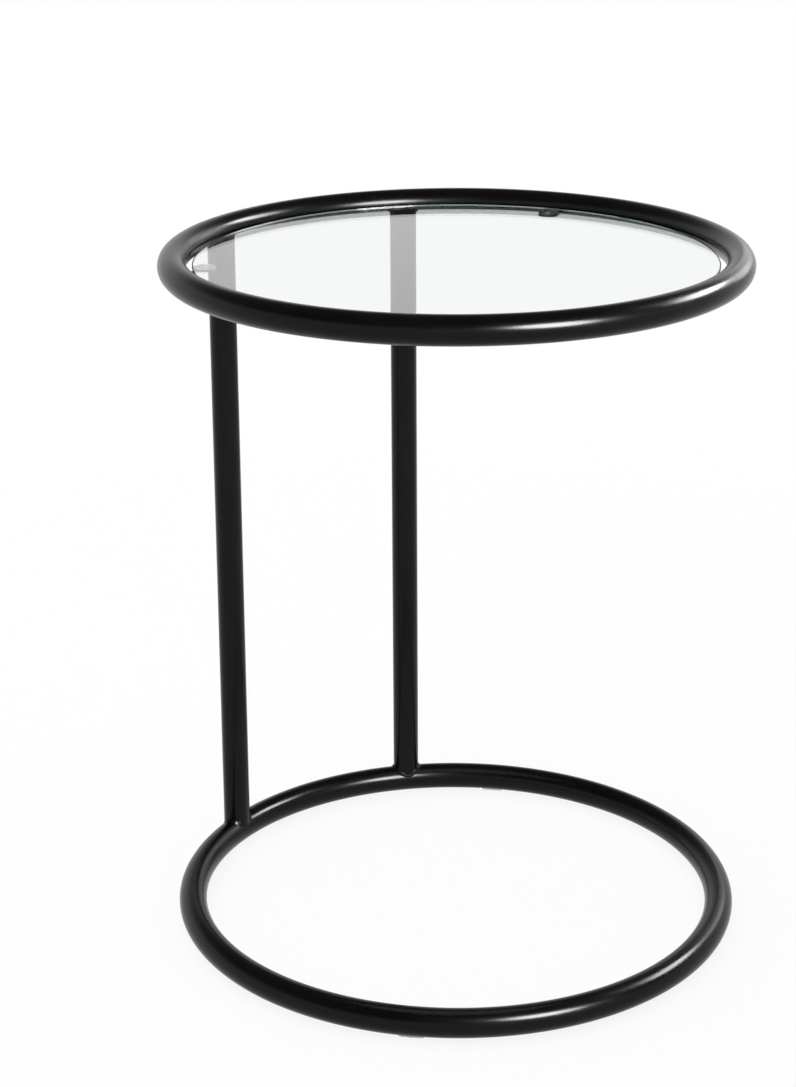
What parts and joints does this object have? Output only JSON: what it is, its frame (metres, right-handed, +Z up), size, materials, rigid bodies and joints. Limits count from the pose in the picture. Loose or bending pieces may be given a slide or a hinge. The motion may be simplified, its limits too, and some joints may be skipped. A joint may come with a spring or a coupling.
{
  "type": "side table",
  "caption": "Round side table: a clear glass top lies in a ring of black steel tube, held over a matching floor ring by posts at the back only.",
  "frame": {"origin": "centre of the base ring, on the floor", "axes": "+Z up; +Y towards the back, where the two posts stand; +X to the right seen from the open front"},
  "size_m": [0.45, 0.45, 0.55],
  "materials": {
    "black_powder_coat": "satin black powder coat on steel tube",
    "clear_glass": "clear toughened glass, edge ground smooth",
    "clear_soft_pad": "clear soft silicone",
    "clear_plastic_glide": "clear moulded plastic"
  },
  "bodies": {
    "frame": {"base_ring": "black_powder_coat", "top_ring": "black_powder_coat", "left_post": "black_powder_coat", "left_post_base_weld": "black_powder_coat", "left_post_top_weld": "black_powder_coat", "right_post": "black_powder_coat", "right_post_base_weld": "black_powder_coat", "right_post_top_weld": "black_powder_coat", "right_bracket": "black_powder_coat", "right_bracket_weld": "black_powder_coat", "right_pad": "clear_soft_pad", "left_bracket": "black_powder_coat", "left_bracket_weld": "black_powder_coat", "left_pad": "clear_soft_pad", "front_bracket": "black_powder_coat", "front_bracket_weld": "black_powder_coat", "front_pad": "clear_soft_pad", "back_right_glide": "clear_plastic_glide", "back_left_glide": "clear_plastic_glide", "front_left_glide": "clear_plastic_glide", "front_right_glide": "clear_plastic_glide"},
    "glass": {"glass_top": "clear_glass"}
  },
  "joints": [
    {"name": "glass_lift", "type": "slide", "parent": "frame", "child": "glass", "axis": [0, 0, 1], "range_m": [0, 0.08]}
  ]
}
